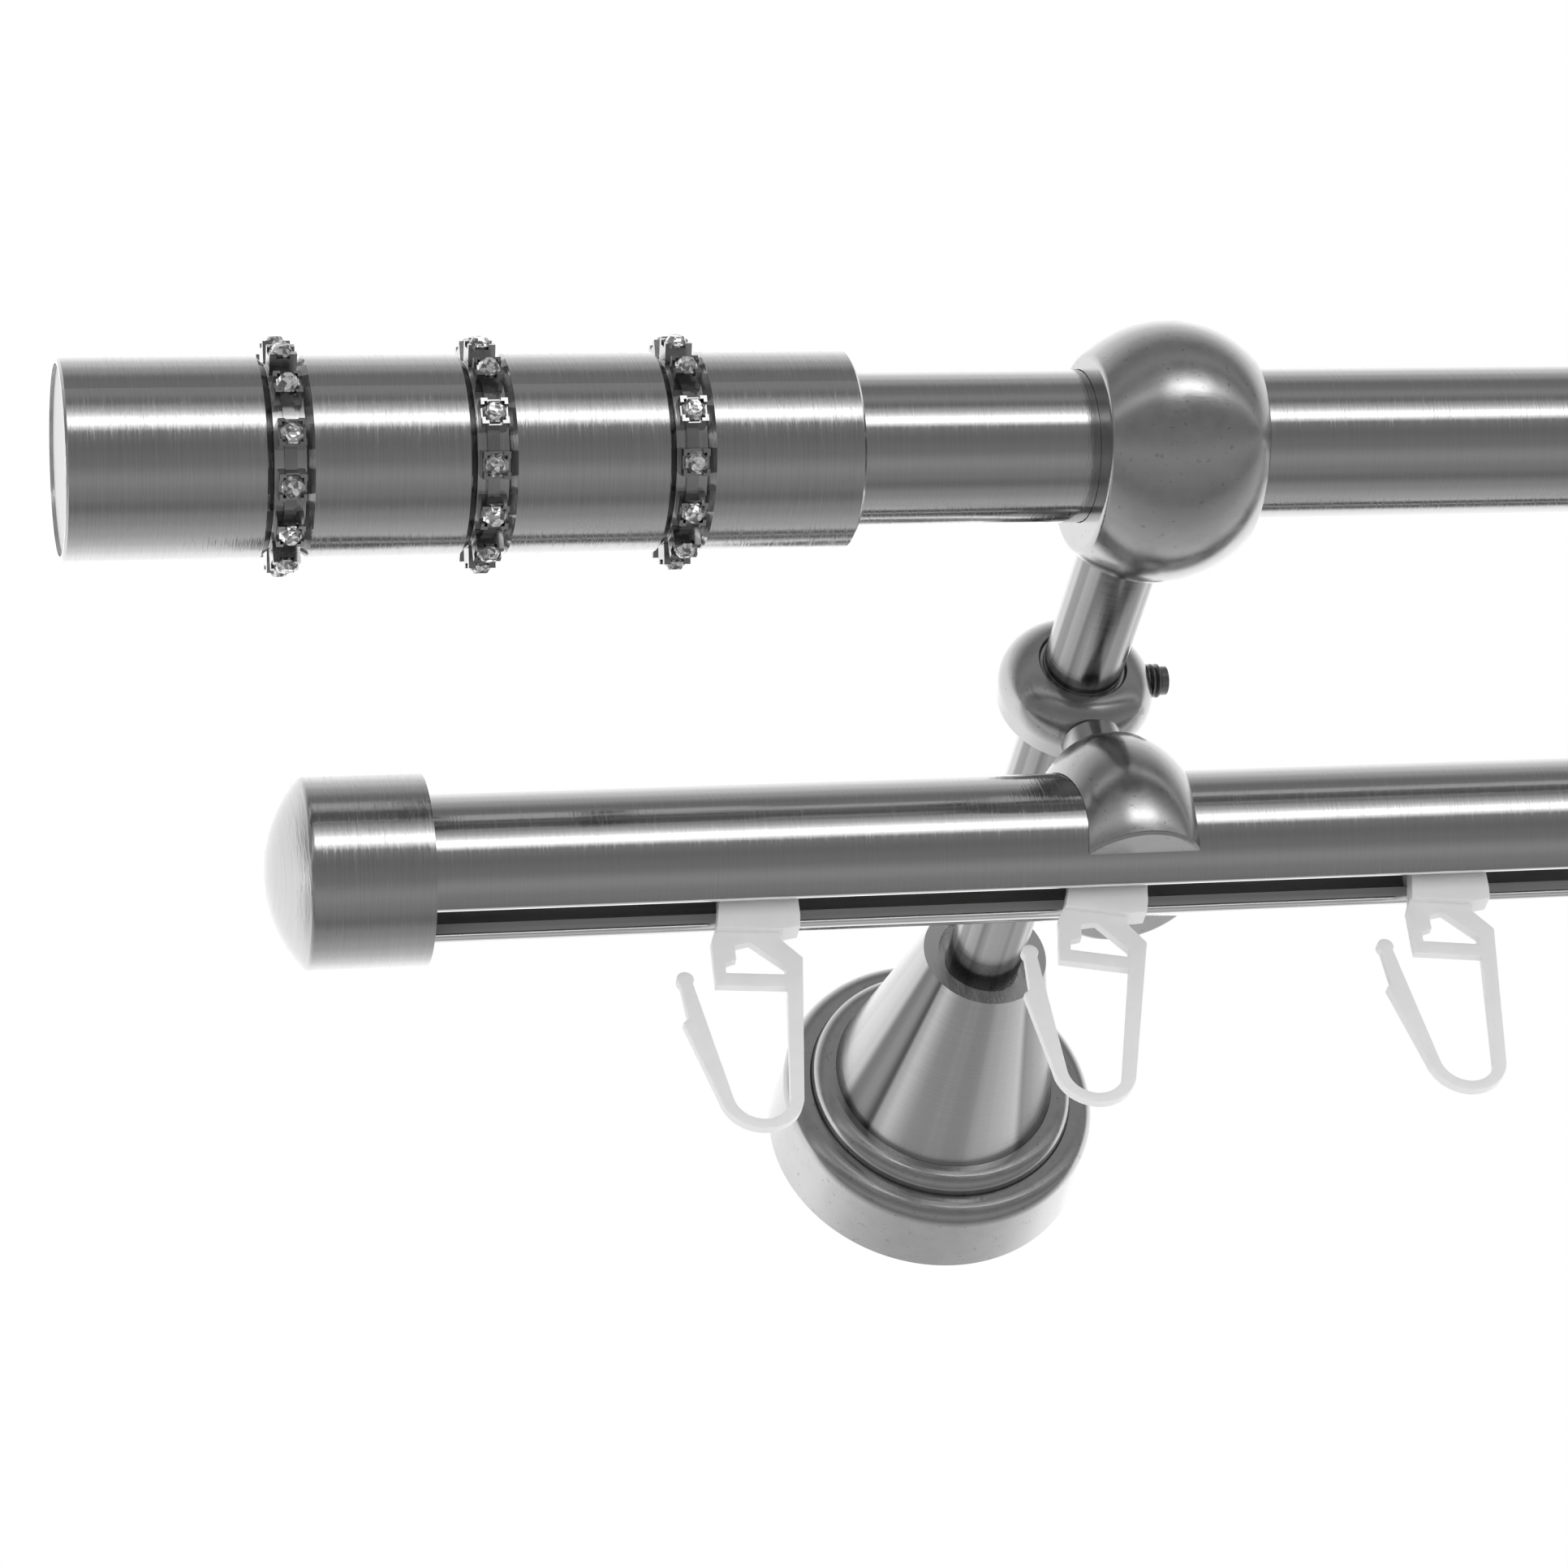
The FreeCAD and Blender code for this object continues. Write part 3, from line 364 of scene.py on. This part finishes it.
BRACKET_AND_END = {
    "wall_plate": plate_zinc,
    "flange": cast_metal,
    "flange_grub": screw_steel,
    "arm": arm_steel,
    "tie_screw": screw_steel,
    "front_holder": cast_metal,
    "front_grub": screw_steel,
    "collar": cast_metal,
    "collar_screw": screw_steel,
    "rear_holder": cast_metal,
    "rear_holder_screw": screw_steel,
    "end_cap": turned_steel,
    "finial_sleeve": turned_steel,
    "finial_end_disc": lacquer,
    "finial_bush": bush,
}
for side in SIDES:
    for part, material in BRACKET_AND_END.items():
        dress(f"{side}_{part}", material)
    for ring in RINGS:
        dress(f"{side}_finial_chain_{ring}", chain_metal)
        dress(f"{side}_finial_stones_{ring}", glass)
    dress_cone(f"{side}_cone")
dress("front_pole", pole_steel)
dress_rail()
for name in nodes:
    if name.startswith("glider"):
        dress(name, nylon)


# Studio

# What polished metal sees of the studio, by the angle in degrees from the room's horizon (0, towards -Y)
# over the ceiling (90) to the wall's side (180), and under the object (-90): the brightness there.
SURROUNDINGS = (
    (-180, 1.55), (-166, 1.25), (-150, 0.9), (-135, 0.66), (-115, 0.46), (-98, 0.27), (-85, 0.36),
    (-66, 0.45), (-45, 0.3), (-28, 0.26), (-12, 0.32), (0, 0.5), (14, 0.4), (24, 0.27), (37, 0.42),
    (50, 0.3), (60, 0.28), (76, 0.6), (90, 1.0), (110, 1.4), (150, 1.5), (180, 1.55),
)
# The strip light in front of the object, by the same angle, and how it fades to its left and right ends.
STRIP = ((-180, 0), (-11, 0), (-6, 1.2), (-2, 2.6), (3, 2.6), (8, 1.0), (15, 0.3), (24, 0), (180, 0))
STRIP_ENDS = ((-1, 0.1), (-0.35, 0.12), (-0.02, 1.0), (0.36, 1.0), (0.58, 0.35), (0.85, 0.12), (1, 0.1))
# Soft light on matt surfaces, by the height of where it comes from: -1 straight below, 0 level, 1 above.
SOFT_LIGHT = ((-1, 1.0), (-0.3, 0.95), (0, 0.8), (1, 0.8))

# The lamp that lights what isn't metal
KEY_TARGET = (0.05, -0.17, -0.03)
KEY_DIRECTION = (0.15, -1, 0.55)
KEY_DISTANCE = 1.6
KEY_SIZE = 0.7
KEY_POWER = 2

# The photograph's own camera, fitted to the object
CAMERA_PLACE = Vector((-236.127, -712.663, -474.083)) * MM
CAMERA_RIGHT = Vector((0.97063, -0.16706, -0.17314))
CAMERA_UP = Vector((0.03127, -0.62594, 0.77925))
CAMERA_BACK = Vector((-0.23855, -0.76177, -0.60233))
CAMERA_LENS = 101.95
SENSOR_WIDTH = 36


def background(tree, colour, strength):
    """Light of a colour from all round; without a colour it is white."""
    node = add(tree, "ShaderNodeBackground")
    node.inputs["Strength"].default_value = strength
    if colour is None:
        node.inputs["Color"].default_value = (1, 1, 1, 1)
    else:
        tree.links.new(colour, node.inputs["Color"])
    return node.outputs["Background"]


def mixed(tree, fac, first, second):
    """The second shader where the factor is 1, otherwise the first."""
    node = add(tree, "ShaderNodeMixShader")
    for socket, source in zip(node.inputs, (fac, first, second)):
        tree.links.new(source, socket)
    return node.outputs["Shader"]


def studio_world():
    """White to the camera, graded like the photographer's studio to metal, plain soft light to the rest."""
    world = bpy.data.worlds.new("studio")
    bpy.context.scene.world = world
    world.use_nodes = True
    world.cycles.sampling_method = "NONE"
    tree = world.node_tree
    tree.nodes.clear()
    parts = add(tree, "ShaderNodeSeparateXYZ")
    tree.links.new(add(tree, "ShaderNodeTexCoord").outputs["Generated"], parts.inputs["Vector"])
    across, inward, height = parts.outputs
    radians = calculated(tree, "ARCTAN2", height, calculated(tree, "MULTIPLY", inward, -1))
    angle = calculated(tree, "DEGREES", radians, 0)
    ends = graded(tree, across, 1, STRIP_ENDS)
    strip = calculated(tree, "MULTIPLY", graded(tree, angle, 180, STRIP), ends)
    strip = calculated(tree, "MULTIPLY", strip, BRIGHTEST)
    shine = calculated(tree, "ADD", strip, graded(tree, angle, 180, SURROUNDINGS))
    for_metal = background(tree, shine, BRIGHTEST)
    for_matt = background(tree, graded(tree, height, 1, SOFT_LIGHT), BRIGHTEST)
    white = background(tree, None, 1)
    rays = add(tree, "ShaderNodeLightPath")
    through = rays.outputs["Is Transmission Ray"]
    seen = calculated(tree, "MAXIMUM", rays.outputs["Is Camera Ray"], through)
    lit = mixed(tree, rays.outputs["Is Glossy Ray"], for_matt, for_metal)
    output = add(tree, "ShaderNodeOutputWorld")
    tree.links.new(mixed(tree, seen, lit, white), output.inputs["Surface"])


def key_lamp():
    """A square lamp that stands off its target in a direction and faces it; metal doesn't reflect it."""
    light = bpy.data.lights.new("key", "AREA")
    light.shape = "SQUARE"
    light.size = KEY_SIZE
    light.energy = KEY_POWER
    lamp = bpy.data.objects.new("key", light)
    lamp.visible_glossy = False
    away = Vector(KEY_DIRECTION).normalized()
    lamp.location = Vector(KEY_TARGET) + away * KEY_DISTANCE
    lamp.rotation_euler = away.to_track_quat("Z", "Y").to_euler()
    bpy.context.scene.collection.objects.link(lamp)


def camera():
    """Below and to the left of the object, looking up along the poles."""
    data = bpy.data.cameras.new("camera")
    data.sensor_width = SENSOR_WIDTH
    data.lens = CAMERA_LENS
    data.clip_start = 0.01
    data.clip_end = 50
    eye = bpy.data.objects.new("camera", data)
    turn = Matrix((CAMERA_RIGHT, CAMERA_UP, CAMERA_BACK)).transposed()
    eye.matrix_world = Matrix.Translation(CAMERA_PLACE) @ turn.to_4x4()
    bpy.context.scene.collection.objects.link(eye)
    bpy.context.scene.camera = eye


studio_world()
key_lamp()
camera()
bpy.context.scene.view_settings.view_transform = "Standard"
